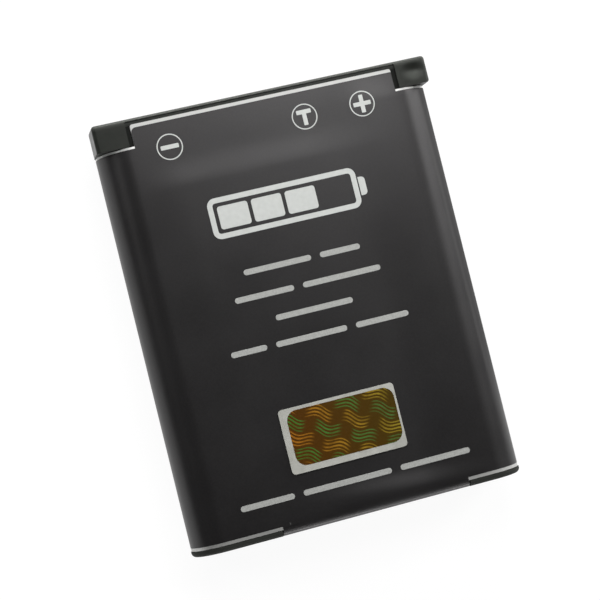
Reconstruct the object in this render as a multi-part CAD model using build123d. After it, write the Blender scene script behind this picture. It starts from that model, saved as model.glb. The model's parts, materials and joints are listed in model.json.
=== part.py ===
"""Flat lithium-ion battery pack for a compact camera, in millimetres.

The pack lies on its back. X runs across it, Y runs along it towards the contact end, and Z points
out of its printed front. The origin is the middle of the back face.
"""

import os

from build123d import *

# Overall size of the pack
PACK_WIDTH = 31.5
PACK_LENGTH = 39.5
PACK_THICKNESS = 6.0

# Films, and the layer of glue that holds the label to what it wraps
LABEL_FILM = 0.10
STICKER_FILM = 0.08
GLUE = 0.02
CAP_PROUD = 0.05  # how far each cap stands out past the label at a narrow side

# Top cap: a keyed head that shows at the corners, over a skirt that the label covers
HEAD_HEIGHT = 2.5
SKIRT_HEIGHT = 0.9
END_WALL = 0.6
SIDE_WALL = 0.75
KEY_CORNER = 0.35  # the front corners are square, so that the pack goes in one way only
BACK_CORNER = 2.9
KEY_WIDTH = 3.0  # from the pack's side to the pocket for the label's tab
KEY_FOOT_BEVEL = 0.2  # on the lower corner of the right-hand key
HEAD_EDGE_ROUND = 0.3
POCKET_RIM = 0.25  # what is left of the head above that pocket

# Bottom cap: a flange that shows at the corners, over a spigot that the label covers
FLANGE_HEIGHT = 0.52
FLANGE_EDGE_ROUND = 0.4
SPIGOT_HEIGHT = 0.5
TAPE_THICKNESS = 0.15
TAPE_INSET = 1.2

# Label: a wrap with a tab over the top cap on both faces, and one folded over the bottom end
LABEL_EDGE_GAP = 0.05
TOP_TAB_MARGIN = 0.45  # from the contact end down to the tab's edge
TOP_TAB_CORNER = 0.2
POCKET_SIDE_GAP = 0.43
FOOT_TAB_LEFT_INSET = 8.15  # from the pack's side to the folded tab
FOOT_TAB_RIGHT_INSET = 5.65
FOOT_TAB_GAP = 0.1
FOOT_TAB_BACK = 0.6  # the folded tab stops this far short of the back face
FOLD_RADIUS = 0.36  # of the bottom cap's edge under the fold
SEAM_GAP = 0.2
SEAM_MARGIN = 0.12  # from the back tab's side to the seam

# Security sticker on the front
STICKER_WIDTH = 10.9
STICKER_HEIGHT = 5.8
STICKER_CORNER = 0.35
STICKER_ABOVE_END = 7.95

# Sealed cell: a drawn can with a welded lid
CAN_FOOT_ROUND = 0.6
WELD_INSET = 0.3
WELD_WIDTH = 0.12
WELD_DEPTH = 0.06
FILL_PLUG_INSET = 6.75  # from the pack's side to the middle of the plug
FILL_PLUG_RADIUS = 0.7
FILL_PLUG_HEIGHT = 0.1

# Negative terminal riveted through the lid
TERMINAL_X = 0.0
TERMINAL_HEAD_RADIUS = 1.2
TERMINAL_HEAD_THICKNESS = 0.35
TERMINAL_EDGE = 0.1
TERMINAL_SHANK_RADIUS = 0.55
GASKET_FLANGE_RADIUS = 1.4
GASKET_FLANGE_THICKNESS = 0.25
GASKET_COLLAR_RADIUS = 1.0
GASKET_COLLAR_DEPTH = 0.5
FIT_GAP = 0.02  # between pieces that are pushed into each other

# Fibre sheet on the lid
SHEET_THICKNESS = 0.12
SHEET_EDGE_GAP = 0.2
SHEET_HOLE_GAP = 0.1

# Protection board and the contacts on it
BOARD_EDGE_GAP = 0.24
BOARD_END_GAP = 1.6
BOARD_THICKNESS = 0.5
BOARD_CORNER = 0.4
NEGATIVE_CONTACT_INSET = 6.55  # from the pack's side to the middle of the pad
POSITIVE_CONTACT_INSET = 6.7
SENSE_CONTACT_PITCH = 5.55  # from the positive pad to the one between
CONTACT_WIDTH = 2.6
CONTACT_HEIGHT = 2.2
CONTACT_THICKNESS = 0.35
CONTACT_CORNER = 0.15
CONTACT_EDGE = 0.06
WINDOW_GAP = 0.2
WINDOW_CORNER = 0.2
RIB_PITCH = 12.8
RIB_WIDTH = 0.9
RIB_BELOW_BOARD = 0.3

# Nickel strips from the cell to the board
STRIP_THICKNESS = 0.1
STRIP_WIDTH = 2.2
STRIP_BEND = 0.3  # radius at the middle of the strip
NEGATIVE_RISER_OFFSET = -3.2  # from the terminal
NEGATIVE_BOARD_LEG = 2.4
POSITIVE_RISER_OFFSET = 0.15  # from the positive pad
POSITIVE_LEG = 2.8

# Parts soldered to the inner face of the board, with their length, width and height. One row runs from the
# negative strip to the left, the other both ways from the thermistor, each part a gap away from the last.
CAPACITOR_GAP = 0.9
CAPACITOR_SIZE = (1.0, 0.5, 0.5)
SWITCH_CHIP_GAP = 0.5
SWITCH_CHIP_SIZE = (3.0, 2.0, 0.75)
THERMISTOR_OFFSET = 1.1  # from its contact pad
THERMISTOR_SIZE = (1.6, 0.8, 0.6)
PROTECTION_CHIP_GAP = 1.35
PROTECTION_CHIP_SIZE = (2.9, 1.6, 0.8)
RESISTOR_GAP = 1.0
RESISTOR_SIZE = (1.0, 0.5, 0.35)
PAIR_PITCH = 1.6  # between the two resistors, and the two capacitors
CHIP_EDGE = 0.1
LEAD_COUNT = 3
LEAD_PITCH = 0.95
LEAD_WIDTH = 0.4
LEAD_REACH = 0.55
LEAD_THICKNESS = 0.15
END_CAP_LENGTH = 0.25
END_CAP_STEP = 0.03

# Sections and levels worked out from the sizes above
HALF_WIDTH = PACK_WIDTH / 2
TOP_END = PACK_LENGTH / 2
BOTTOM_END = -PACK_LENGTH / 2
WRAP_WIDTH = PACK_WIDTH - 2 * CAP_PROUD
WRAP_THICKNESS = PACK_THICKNESS - STICKER_FILM
MIDDLE_Z = WRAP_THICKNESS / 2
LABEL_STACK = LABEL_FILM + GLUE
CORE_WIDTH = WRAP_WIDTH - 2 * LABEL_STACK
CORE_THICKNESS = WRAP_THICKNESS - 2 * LABEL_STACK
CORE_FRONT = WRAP_THICKNESS - LABEL_STACK
HEAD_FOOT = TOP_END - HEAD_HEIGHT
LID_LEVEL = HEAD_FOOT - SKIRT_HEIGHT
LABEL_TOP = HEAD_FOOT - LABEL_EDGE_GAP
FLANGE_TOP = BOTTOM_END + FLANGE_HEIGHT
LABEL_FOOT = FLANGE_TOP + LABEL_EDGE_GAP
SPIGOT_TOP = FLANGE_TOP + SPIGOT_HEIGHT
CAN_FOOT = SPIGOT_TOP + TAPE_THICKNESS
CAVITY_WIDTH = CORE_WIDTH - 2 * SIDE_WALL
CAVITY_THICKNESS = CORE_THICKNESS - 2 * SIDE_WALL
BOARD_LENGTH = CAVITY_WIDTH - 2 * BOARD_END_GAP
BOARD_WIDTH = CAVITY_THICKNESS - 2 * BOARD_EDGE_GAP
BOARD_OUTER = TOP_END - END_WALL
BOARD_INNER = BOARD_OUTER - BOARD_THICKNESS
GASKET_TOP = LID_LEVEL + GASKET_FLANGE_THICKNESS
TERMINAL_TOP = GASKET_TOP + TERMINAL_HEAD_THICKNESS
HALF_POCKET = HALF_WIDTH - KEY_WIDTH
HALF_TAB = HALF_POCKET - POCKET_SIDE_GAP
FOOT_TAB_LEFT = FOOT_TAB_LEFT_INSET - HALF_WIDTH
FOOT_TAB_RIGHT = HALF_WIDTH - FOOT_TAB_RIGHT_INSET
FILL_PLUG_X = FILL_PLUG_INSET - HALF_WIDTH
NEGATIVE_CONTACT_X = NEGATIVE_CONTACT_INSET - HALF_WIDTH
POSITIVE_CONTACT_X = HALF_WIDTH - POSITIVE_CONTACT_INSET
SENSE_CONTACT_X = POSITIVE_CONTACT_X - SENSE_CONTACT_PITCH
NEGATIVE_RISER_X = TERMINAL_X + NEGATIVE_RISER_OFFSET
NEGATIVE_TAB_END = NEGATIVE_RISER_X - NEGATIVE_BOARD_LEG
POSITIVE_RISER_X = POSITIVE_CONTACT_X + POSITIVE_RISER_OFFSET


def step_to_next(first, gap, second):
    """Distance along the board between the middles of two parts, from their sizes and the gap between them."""
    return first[0] / 2 + gap + second[0] / 2


CAPACITOR_X = NEGATIVE_TAB_END - CAPACITOR_GAP - CAPACITOR_SIZE[0] / 2
SWITCH_CHIP_X = CAPACITOR_X - step_to_next(CAPACITOR_SIZE, SWITCH_CHIP_GAP, SWITCH_CHIP_SIZE)
THERMISTOR_X = SENSE_CONTACT_X + THERMISTOR_OFFSET
PROTECTION_CHIP_X = THERMISTOR_X - step_to_next(THERMISTOR_SIZE, PROTECTION_CHIP_GAP, PROTECTION_CHIP_SIZE)
RESISTOR_X = THERMISTOR_X + step_to_next(THERMISTOR_SIZE, RESISTOR_GAP, RESISTOR_SIZE)


def along(section, low, high):
    """Solid of a section drawn across the pack in X and Z, from low to high along Y."""
    plane = Plane(origin=(0, high, 0), x_dir=(1, 0, 0), z_dir=(0, -1, 0))
    return extrude(plane * section, amount=high - low)


def outward(outline, low, high):
    """Solid of an outline seen from the front in X and Y, from low to high along Z."""
    return extrude(Pos(0, 0, low) * outline, amount=high - low)


def sideways(profile, low, high):
    """Solid of a profile seen from the side in Y and Z, from low to high along X."""
    return extrude(Plane.YZ.offset(low) * profile, amount=high - low)


def span(left, right, low, high):
    """Rectangle between two corners of the plane that it is drawn on."""
    return Pos((left + right) / 2, (low + high) / 2) * Rectangle(right - left, high - low)


def slot_section(width, thickness):
    """Section with fully round narrow sides, centred on the cell."""
    return Pos(0, MIDDLE_Z) * SlotOverall(width, thickness)


def slot_ring(width, thickness, wall):
    """Ring of even thickness inside a slot section."""
    return slot_section(width, thickness) - slot_section(width - 2 * wall, thickness - 2 * wall)


def disc(x, radius, low, high):
    """Round solid that stands on the lid, along Y."""
    return along(Pos(x, MIDDLE_Z) * Circle(radius), low, high)


def end_edges(solid, last):
    """Edges round the end face of a solid, towards the contact end or away from it."""
    return solid.faces().sort_by(Axis.Y)[-1 if last else 0].edges()


def make_top_cap():
    """Keyed cap at the contact end, hollow inside, with a window for each contact."""
    section = span(-HALF_WIDTH, HALF_WIDTH, 0, PACK_THICKNESS)
    section = fillet(section.vertices().group_by(Axis.Y)[0], BACK_CORNER)
    section = fillet(section.vertices().group_by(Axis.Y)[-1], KEY_CORNER)
    outline = span(-HALF_WIDTH, HALF_WIDTH, HEAD_FOOT, TOP_END)
    foot_corners = outline.vertices().group_by(Axis.Y)[0].sort_by(Axis.X)
    outline = chamfer(foot_corners[-1], KEY_FOOT_BEVEL)
    head = along(section, HEAD_FOOT, TOP_END) & outward(outline, 0, PACK_THICKNESS)
    head = fillet(end_edges(head, True), HEAD_EDGE_ROUND)

    pocket = span(-HALF_POCKET, HALF_POCKET, HEAD_FOOT, TOP_END - POCKET_RIM)
    head -= outward(pocket, CORE_FRONT, PACK_THICKNESS)
    head -= outward(pocket, 0, LABEL_STACK)

    cap = head + along(slot_section(CORE_WIDTH, CORE_THICKNESS), LID_LEVEL, HEAD_FOOT)
    cap -= along(slot_section(CAVITY_WIDTH, CAVITY_THICKNESS), LID_LEVEL, BOARD_OUTER)
    opening = RectangleRounded(CONTACT_WIDTH + 2 * WINDOW_GAP, CONTACT_HEIGHT + 2 * WINDOW_GAP, WINDOW_CORNER)
    for x in (NEGATIVE_CONTACT_X, SENSE_CONTACT_X, POSITIVE_CONTACT_X):
        cap -= along(Pos(x, MIDDLE_Z) * opening, BOARD_OUTER, TOP_END)
    return cap + make_ribs()


def make_ribs():
    """Ribs inside the top cap that hold the board by its long edges."""
    slot = span(-RIB_WIDTH / 2, RIB_WIDTH / 2, -BOARD_WIDTH / 2 - FIT_GAP, BOARD_WIDTH / 2 + FIT_GAP)
    root = CAVITY_THICKNESS / 2 + SIDE_WALL / 2
    rib = span(-RIB_WIDTH / 2, RIB_WIDTH / 2, -root, root) - slot
    low = BOARD_INNER - RIB_BELOW_BOARD
    places = GridLocations(RIB_PITCH, 0, 2, 1)
    return [along(Pos(0, MIDDLE_Z) * place * rib, low, BOARD_OUTER) for place in places]


def make_bottom_cap():
    """Cap at the plain end, with a shallow seat for the folded tab of the label."""
    section = Pos(0, PACK_THICKNESS / 2) * SlotOverall(PACK_WIDTH, PACK_THICKNESS)
    flange = along(section, BOTTOM_END, FLANGE_TOP)
    flange = fillet(end_edges(flange, False), FLANGE_EDGE_ROUND)
    cap = flange + along(slot_section(CORE_WIDTH, CORE_THICKNESS), FLANGE_TOP, SPIGOT_TOP)

    seat_low = FOOT_TAB_BACK - FOOT_TAB_GAP
    seat = span(BOTTOM_END + LABEL_STACK, SPIGOT_TOP, seat_low, CORE_FRONT)
    seat = fillet(seat.vertices().sort_by(Axis.Y)[-2:].sort_by(Axis.X)[0], FOLD_RADIUS)
    cleared = span(BOTTOM_END, SPIGOT_TOP, seat_low, PACK_THICKNESS) - seat
    return cap - sideways(cleared, FOOT_TAB_LEFT - FOOT_TAB_GAP, FOOT_TAB_RIGHT + FOOT_TAB_GAP)


def make_label_wrap():
    """Printed film round the pack, with tabs over both ends and its seam on the back."""
    label = along(slot_ring(WRAP_WIDTH, WRAP_THICKNESS, LABEL_FILM), LABEL_FOOT, LABEL_TOP)
    seam_left = HALF_TAB + SEAM_MARGIN
    seam = span(seam_left, seam_left + SEAM_GAP, LABEL_FOOT, LABEL_TOP)
    label -= outward(seam, 0, LABEL_STACK)

    tab = span(-HALF_TAB, HALF_TAB, LABEL_TOP, TOP_END - TOP_TAB_MARGIN)
    tab = fillet(tab.vertices().group_by(Axis.Y)[-1], TOP_TAB_CORNER)
    label += outward(tab, WRAP_THICKNESS - LABEL_FILM, WRAP_THICKNESS)
    label += outward(tab, 0, LABEL_FILM)

    film_y = BOTTOM_END + LABEL_FILM / 2
    film_z = WRAP_THICKNESS - LABEL_FILM / 2
    bend = FOLD_RADIUS + GLUE + LABEL_FILM / 2
    fold_start = LABEL_FOOT + bend
    fold = FilletPolyline((fold_start, film_z), (film_y, film_z), (film_y, FOOT_TAB_BACK), radius=bend)
    return label + sideways(trace(fold, LABEL_FILM), FOOT_TAB_LEFT, FOOT_TAB_RIGHT)


def make_security_sticker():
    """Foil sticker on the front of the label."""
    outline = RectangleRounded(STICKER_WIDTH, STICKER_HEIGHT, STICKER_CORNER)
    return outward(Pos(0, BOTTOM_END + STICKER_ABOVE_END) * outline, WRAP_THICKNESS, PACK_THICKNESS)


def make_cell_can():
    """Sealed cell: drawn can, lid welded in at its rim, hole for the terminal and a fill plug."""
    can = along(slot_section(CORE_WIDTH, CORE_THICKNESS), CAN_FOOT, LID_LEVEL)
    can = fillet(end_edges(can, False), CAN_FOOT_ROUND)
    weld = slot_ring(CORE_WIDTH - 2 * WELD_INSET, CORE_THICKNESS - 2 * WELD_INSET, WELD_WIDTH)
    can -= along(weld, LID_LEVEL - WELD_DEPTH, LID_LEVEL)
    can -= disc(TERMINAL_X, GASKET_COLLAR_RADIUS + FIT_GAP, LID_LEVEL - GASKET_COLLAR_DEPTH, LID_LEVEL)
    return can + disc(FILL_PLUG_X, FILL_PLUG_RADIUS, LID_LEVEL, LID_LEVEL + FILL_PLUG_HEIGHT)


def make_cell_terminal():
    """Rivet that brings the negative side of the cell out through the lid."""
    head = disc(TERMINAL_X, TERMINAL_HEAD_RADIUS, GASKET_TOP, TERMINAL_TOP)
    head = chamfer(end_edges(head, True), TERMINAL_EDGE)
    return head + disc(TERMINAL_X, TERMINAL_SHANK_RADIUS, LID_LEVEL - GASKET_COLLAR_DEPTH, GASKET_TOP)


def make_terminal_gasket():
    """Plastic ring between the rivet and the lid."""
    ring = disc(TERMINAL_X, GASKET_FLANGE_RADIUS, LID_LEVEL, GASKET_TOP)
    ring += disc(TERMINAL_X, GASKET_COLLAR_RADIUS, LID_LEVEL - GASKET_COLLAR_DEPTH, LID_LEVEL)
    bore = TERMINAL_SHANK_RADIUS + FIT_GAP
    return ring - disc(TERMINAL_X, bore, LID_LEVEL - GASKET_COLLAR_DEPTH, GASKET_TOP)


def make_lid_insulator():
    """Fibre sheet on the lid, open where the terminal, the plug and the positive strip stand."""
    top = LID_LEVEL + SHEET_THICKNESS
    edge = 2 * SHEET_EDGE_GAP
    sheet = along(slot_section(CAVITY_WIDTH - edge, CAVITY_THICKNESS - edge), LID_LEVEL, top)
    sheet -= disc(TERMINAL_X, GASKET_FLANGE_RADIUS + SHEET_HOLE_GAP, LID_LEVEL, top)
    sheet -= disc(FILL_PLUG_X, FILL_PLUG_RADIUS + SHEET_HOLE_GAP, LID_LEVEL, top)
    left = POSITIVE_RISER_X - STRIP_THICKNESS - SHEET_HOLE_GAP
    right = POSITIVE_RISER_X + POSITIVE_LEG + SHEET_HOLE_GAP
    half_strip = STRIP_WIDTH / 2 + SHEET_HOLE_GAP
    window = span(left, right, MIDDLE_Z - half_strip, MIDDLE_Z + half_strip)
    return sheet - along(window, LID_LEVEL, top)


def make_protection_board():
    """Circuit board against the inside of the end wall."""
    outline = RectangleRounded(BOARD_LENGTH, BOARD_WIDTH, BOARD_CORNER)
    return along(Pos(0, MIDDLE_Z) * outline, BOARD_INNER, BOARD_OUTER)


def make_contact(x):
    """Gold-plated pad on the board, standing in its window."""
    outline = RectangleRounded(CONTACT_WIDTH, CONTACT_HEIGHT, CONTACT_CORNER)
    pad = along(Pos(x, MIDDLE_Z) * outline, BOARD_OUTER, BOARD_OUTER + CONTACT_THICKNESS)
    return chamfer(end_edges(pad, True), CONTACT_EDGE)


def make_strip(points):
    """Bent nickel strip through points seen from the front."""
    line = FilletPolyline(*points, radius=STRIP_BEND)
    return outward(trace(line, STRIP_THICKNESS), MIDDLE_Z - STRIP_WIDTH / 2, MIDDLE_Z + STRIP_WIDTH / 2)


def make_negative_tab():
    """Strip from the rivet up to the board."""
    low = TERMINAL_TOP + STRIP_THICKNESS / 2
    high = BOARD_INNER - STRIP_THICKNESS / 2
    start = TERMINAL_X + TERMINAL_HEAD_RADIUS
    riser = NEGATIVE_RISER_X
    return make_strip([(start, low), (riser, low), (riser, high), (NEGATIVE_TAB_END, high)])


def make_positive_tab():
    """Strip from the lid up to the board, folded back on itself."""
    low = LID_LEVEL + STRIP_THICKNESS / 2
    high = BOARD_INNER - STRIP_THICKNESS / 2
    end = POSITIVE_RISER_X + POSITIVE_LEG
    return make_strip([(end, low), (POSITIVE_RISER_X, low), (POSITIVE_RISER_X, high), (end, high)])


def make_chip_body(x, size):
    """Moulded chip on the inner face of the board, with its far edges bevelled."""
    length, width, height = size
    body = along(Pos(x, MIDDLE_Z) * Rectangle(length, width), BOARD_INNER - height, BOARD_INNER)
    return chamfer(end_edges(body, False), CHIP_EDGE)


def make_protection_chip():
    """Protection circuit, with a row of leads along both long sides."""
    chip = make_chip_body(PROTECTION_CHIP_X, PROTECTION_CHIP_SIZE)
    lead = Rectangle(LEAD_WIDTH, PROTECTION_CHIP_SIZE[1] + 2 * LEAD_REACH)
    for place in GridLocations(LEAD_PITCH, 0, LEAD_COUNT, 1):
        section = Pos(PROTECTION_CHIP_X, MIDDLE_Z) * place * lead
        chip += along(section, BOARD_INNER - LEAD_THICKNESS, BOARD_INNER)
    return chip


def make_passive(x, z, size):
    """Chip resistor, capacitor or thermistor: a block with a metal cap at each end."""
    length, width, height = size
    centre = Pos(x, MIDDLE_Z + z)
    part = along(centre * Rectangle(length, width), BOARD_INNER - height, BOARD_INNER)
    end_cap = Rectangle(END_CAP_LENGTH, width + 2 * END_CAP_STEP)
    for place in GridLocations(length - END_CAP_LENGTH, 0, 2, 1):
        part += along(centre * place * end_cap, BOARD_INNER - height - END_CAP_STEP, BOARD_INNER)
    return part


def make_pair(x, size):
    """Two small parts side by side on the board."""
    return make_passive(x, -PAIR_PITCH / 2, size) + make_passive(x, PAIR_PITCH / 2, size)


def make_bottom_tape():
    """Double-sided tape between the bottom cap and the can."""
    inset = 2 * TAPE_INSET
    return along(slot_section(CORE_WIDTH - inset, CORE_THICKNESS - inset), SPIGOT_TOP, CAN_FOOT)


PIECES = {
    "top_cap": make_top_cap(),
    "bottom_cap": make_bottom_cap(),
    "label_wrap": make_label_wrap(),
    "security_sticker": make_security_sticker(),
    "cell_can": make_cell_can(),
    "cell_terminal": make_cell_terminal(),
    "terminal_gasket": make_terminal_gasket(),
    "lid_insulator": make_lid_insulator(),
    "protection_board": make_protection_board(),
    "contact_negative": make_contact(NEGATIVE_CONTACT_X),
    "contact_thermistor": make_contact(SENSE_CONTACT_X),
    "contact_positive": make_contact(POSITIVE_CONTACT_X),
    "negative_tab": make_negative_tab(),
    "positive_tab": make_positive_tab(),
    "protection_chip": make_protection_chip(),
    "switch_chip": make_chip_body(SWITCH_CHIP_X, SWITCH_CHIP_SIZE),
    "thermistor": make_passive(THERMISTOR_X, 0, THERMISTOR_SIZE),
    "chip_resistors": make_pair(RESISTOR_X, RESISTOR_SIZE),
    "chip_capacitors": make_pair(CAPACITOR_X, CAPACITOR_SIZE),
    "bottom_tape": make_bottom_tape(),
}

os.makedirs("parts", exist_ok=True)
for name, piece in PIECES.items():
    piece.label = name
    export_step(piece, f"parts/{name}.step")
    box = piece.bounding_box()
    print(name, len(piece.solids()), "solid(s)", round(piece.volume, 2), "mm3", box.min, box.max)
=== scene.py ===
# %% [markdown]
# # Dressing a camera battery
#
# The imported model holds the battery's solids at their real size: two moulded caps, a sealed cell, a
# printed label wrapped round them, a small sticker, and the parts behind the contacts. This lesson gives
# them their looks. We keep every solid whose shape is right, model the thin layers that solids are too
# coarse for, and light the pack as a small object on a white table.

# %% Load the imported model
import json
import math

import bmesh
import bpy
from mathutils import Matrix, Vector


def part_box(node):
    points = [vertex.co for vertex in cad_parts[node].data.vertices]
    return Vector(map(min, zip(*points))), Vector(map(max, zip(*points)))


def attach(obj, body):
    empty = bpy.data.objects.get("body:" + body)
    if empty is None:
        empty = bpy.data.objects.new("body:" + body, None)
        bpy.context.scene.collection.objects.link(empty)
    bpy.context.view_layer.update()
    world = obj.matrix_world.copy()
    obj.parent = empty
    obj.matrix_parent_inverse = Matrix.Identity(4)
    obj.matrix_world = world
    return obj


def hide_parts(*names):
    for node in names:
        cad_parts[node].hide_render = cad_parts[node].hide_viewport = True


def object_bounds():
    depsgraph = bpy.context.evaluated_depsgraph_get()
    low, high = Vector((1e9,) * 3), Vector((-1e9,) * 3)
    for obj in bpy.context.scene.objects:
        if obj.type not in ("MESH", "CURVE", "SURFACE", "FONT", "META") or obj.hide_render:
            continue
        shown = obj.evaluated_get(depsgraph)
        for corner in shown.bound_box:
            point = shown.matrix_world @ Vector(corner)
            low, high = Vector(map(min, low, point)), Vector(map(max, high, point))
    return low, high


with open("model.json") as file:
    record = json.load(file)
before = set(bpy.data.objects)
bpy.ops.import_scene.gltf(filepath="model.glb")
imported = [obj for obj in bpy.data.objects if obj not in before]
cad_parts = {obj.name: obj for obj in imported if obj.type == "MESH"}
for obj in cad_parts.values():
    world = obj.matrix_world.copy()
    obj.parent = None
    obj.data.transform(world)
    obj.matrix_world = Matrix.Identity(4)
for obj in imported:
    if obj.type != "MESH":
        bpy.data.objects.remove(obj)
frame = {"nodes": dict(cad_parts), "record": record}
cad_low, cad_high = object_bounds()
MM = 0.001
print("CAD box in mm:", [round(v / MM, 2) for v in (*cad_low, *cad_high)])

# %% [markdown]
# ## How a finish is made
#
# The pack is nearly all black, so its finishes differ in sheen more than in colour. A picture could be
# stretched over each surface, but it would need unwrapping and would blur close up. We build each finish
# from nodes instead: one Principled shader, whose colour, roughness and bump are stirred by noise. The
# noise reads Object coordinates in metres, so a grain has a real size and stays in the surface from every
# side.

# %% A shader and its nodes
def new_finish(name, metallic=0.0):
    """Material with one Principled shader, whose other sockets are set or fed afterwards."""
    material = bpy.data.materials.new(name)
    material.use_nodes = True
    shader = material.node_tree.nodes["Principled BSDF"]
    shader.inputs["Metallic"].default_value = metallic
    return material, shader


def node(material, kind, **values):
    """Adds a node and sets its properties."""
    made = material.node_tree.nodes.new(kind)
    for key, value in values.items():
        setattr(made, key, value)
    return made


def feed(material, socket, source):
    """Joins a source to a socket: another node's output, or a plain value."""
    if hasattr(source, "is_output"):
        material.node_tree.links.new(source, socket)
    elif isinstance(source, tuple) and socket.type == "RGBA":
        socket.default_value = (*source, 1)
    else:
        socket.default_value = source


def tell(material):
    """Says how many nodes a material has by now."""
    print(material.name, "has", len(material.node_tree.nodes), "nodes")


# %% Places and noise
def placed(material, scale=(1, 1, 1), turn=0.0):
    """Object coordinates in metres, after a scale and a turn about Z."""
    mapping = node(material, "ShaderNodeMapping", vector_type="POINT")
    mapping.inputs["Scale"].default_value = scale
    mapping.inputs["Rotation"].default_value = (0, 0, turn)
    feed(material, mapping.inputs["Vector"], node(material, "ShaderNodeTexCoord").outputs["Object"])
    return mapping.outputs["Vector"]


def noise(material, size, detail=3.0, stretch=(1, 1, 1)):
    """Noise with grains about size metres across. Its value is mostly from 0.3 to 0.7."""
    texture = node(material, "ShaderNodeTexNoise")
    texture.inputs["Scale"].default_value = 1 / size
    texture.inputs["Detail"].default_value = detail
    feed(material, texture.inputs["Vector"], placed(material, scale=stretch))
    return texture.outputs["Fac"]


def spread(material, value, low, high, start=0.3, end=0.7):
    """Maps a value that runs from start to end so that it runs from low to high."""
    scale = node(material, "ShaderNodeMapRange")
    for key, number in (("From Min", start), ("From Max", end), ("To Min", low), ("To Max", high)):
        scale.inputs[key].default_value = number
    feed(material, scale.inputs["Value"], value)
    return scale.outputs["Result"]


# %% Colour and bump
def blend(material, factor, first, second):
    """Mixes two colours by a factor from 0 to 1."""
    mix = node(material, "ShaderNodeMix", data_type="RGBA")
    feed(material, mix.inputs["Factor"], factor)
    colours = [socket for socket in mix.inputs if socket.type == "RGBA"]
    feed(material, colours[0], first)
    feed(material, colours[1], second)
    return next(socket for socket in mix.outputs if socket.type == "RGBA")


def add_bump(material, shader, height, depth):
    """Raises the surface by height times depth metres, in shading only. Bumps stack."""
    bump = node(material, "ShaderNodeBump")
    bump.inputs["Distance"].default_value = depth
    feed(material, bump.inputs["Height"], height)
    socket = shader.inputs["Normal"]
    if socket.is_linked:
        feed(material, bump.inputs["Normal"], socket.links[0].from_socket)
    feed(material, socket, bump.outputs["Normal"])


def grainy_finish(name, dark, light, grain, roughness, bump=0.0, metallic=0.0, stretch=(1, 1, 1)):
    """Finish stirred by one noise: colour from dark to light, roughness in a range, and a bump."""
    material, shader = new_finish(name, metallic)
    stir = noise(material, grain, stretch=stretch)
    colour = blend(material, spread(material, stir, 0, 1), dark, light)
    feed(material, shader.inputs["Base Color"], colour)
    feed(material, shader.inputs["Roughness"], spread(material, stir, *roughness))
    if bump:
        add_bump(material, shader, stir, bump)
    tell(material)
    return material


# %% [markdown]
# ## Masks
#
# Wear isn't spread evenly over a thing that is handled: it sits at edges and in a few places. Painting it
# by hand would tie it to one unwrapping, so each worn place here is a mask, a number from 0 to 1 that is
# worked out from the coordinates. A ramp gives a soft edge along one axis, a product of ramps gives a
# patch, and a distance from a point gives a spot.

# %% Arithmetic in materials
def math_node(material, operation, *values):
    """Sum, product or comparison of outputs and plain numbers."""
    made = node(material, "ShaderNodeMath", operation=operation)
    for socket, value in zip(made.inputs, values):
        feed(material, socket, value)
    return made.outputs[0]


def vector_math(material, operation, *values):
    """The same for places and directions."""
    made = node(material, "ShaderNodeVectorMath", operation=operation)
    for socket, value in zip(made.inputs, values):
        feed(material, socket, value)
    return made.outputs["Value" if operation == "LENGTH" else "Vector"]


def axes(material):
    """Object coordinates in metres, as three numbers."""
    split = node(material, "ShaderNodeSeparateXYZ")
    feed(material, split.inputs[0], placed(material))
    return split.outputs


# %% Ramps, patches and spots
def ramp(material, value, start, end):
    """Eases from 0 to 1 as a value runs from start to end."""
    ease = node(material, "ShaderNodeMapRange", interpolation_type="SMOOTHSTEP")
    ease.inputs["From Min"].default_value = start
    ease.inputs["From Max"].default_value = end
    feed(material, ease.inputs["Value"], value)
    return ease.outputs["Result"]


def patch(material, *masks):
    """Product of masks: 1 only where all of them are."""
    result = masks[0]
    for mask in masks[1:]:
        result = math_node(material, "MULTIPLY", result, mask)
    return result


def spot(material, place, radius, squash):
    """Fades from 1 at a place to 0 at a radius. Squash narrows the spot along each axis."""
    step = vector_math(material, "SUBTRACT", placed(material), place)
    distance = vector_math(material, "LENGTH", vector_math(material, "MULTIPLY", step, squash))
    return ramp(material, distance, radius, 0)


# %% [markdown]
# ## The label's black ink
#
# The label is printed solid black, and its surface has a satin sheen with a faint ripple. It also shows
# how the pack was used: the right-hand side is rubbed dull, and there is a small nick beside the fold at
# the plain end. Base colour hardly shows on black, so we give most of the work to roughness.

# %% Satin black
INK_DARK, INK_LIGHT = (0.0085, 0.0080, 0.0082), (0.0130, 0.0122, 0.0125)
INK_SPECULAR, INK_TINT = 0.52, (1.0, 0.98, 0.985, 1)
INK_GRAIN = 0.15 * MM
SATIN_LOW, SATIN_HIGH = 0.36, 0.42
SATIN_PATCH = 7 * MM
RUBBED_FROM, RUBBED_TO = 14.3 * MM, 14.9 * MM  # rubbed from here outwards
RUBBED_LOW, RUBBED_HIGH = -15 * MM, -6 * MM  # and less so towards the plain end
RUBBED_DULL = 0.35
NICK_PLACE = (-6.85 * MM, cad_low.y + 0.97 * MM, cad_high.z)
NICK_RADIUS = 0.2 * MM
NICK_SQUASH = (1.8, 1, 1)
NICK_PALE = (0.1, 0.1, 0.095)

label_black, shader = new_finish("label_black")
shader.inputs["Specular IOR Level"].default_value = INK_SPECULAR
shader.inputs["Specular Tint"].default_value = INK_TINT
grain = spread(label_black, noise(label_black, INK_GRAIN), 0, 1)
nick = spot(label_black, NICK_PLACE, NICK_RADIUS, NICK_SQUASH)
black = blend(label_black, nick, blend(label_black, grain, INK_DARK, INK_LIGHT), NICK_PALE)
feed(label_black, shader.inputs["Base Color"], black)

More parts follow.
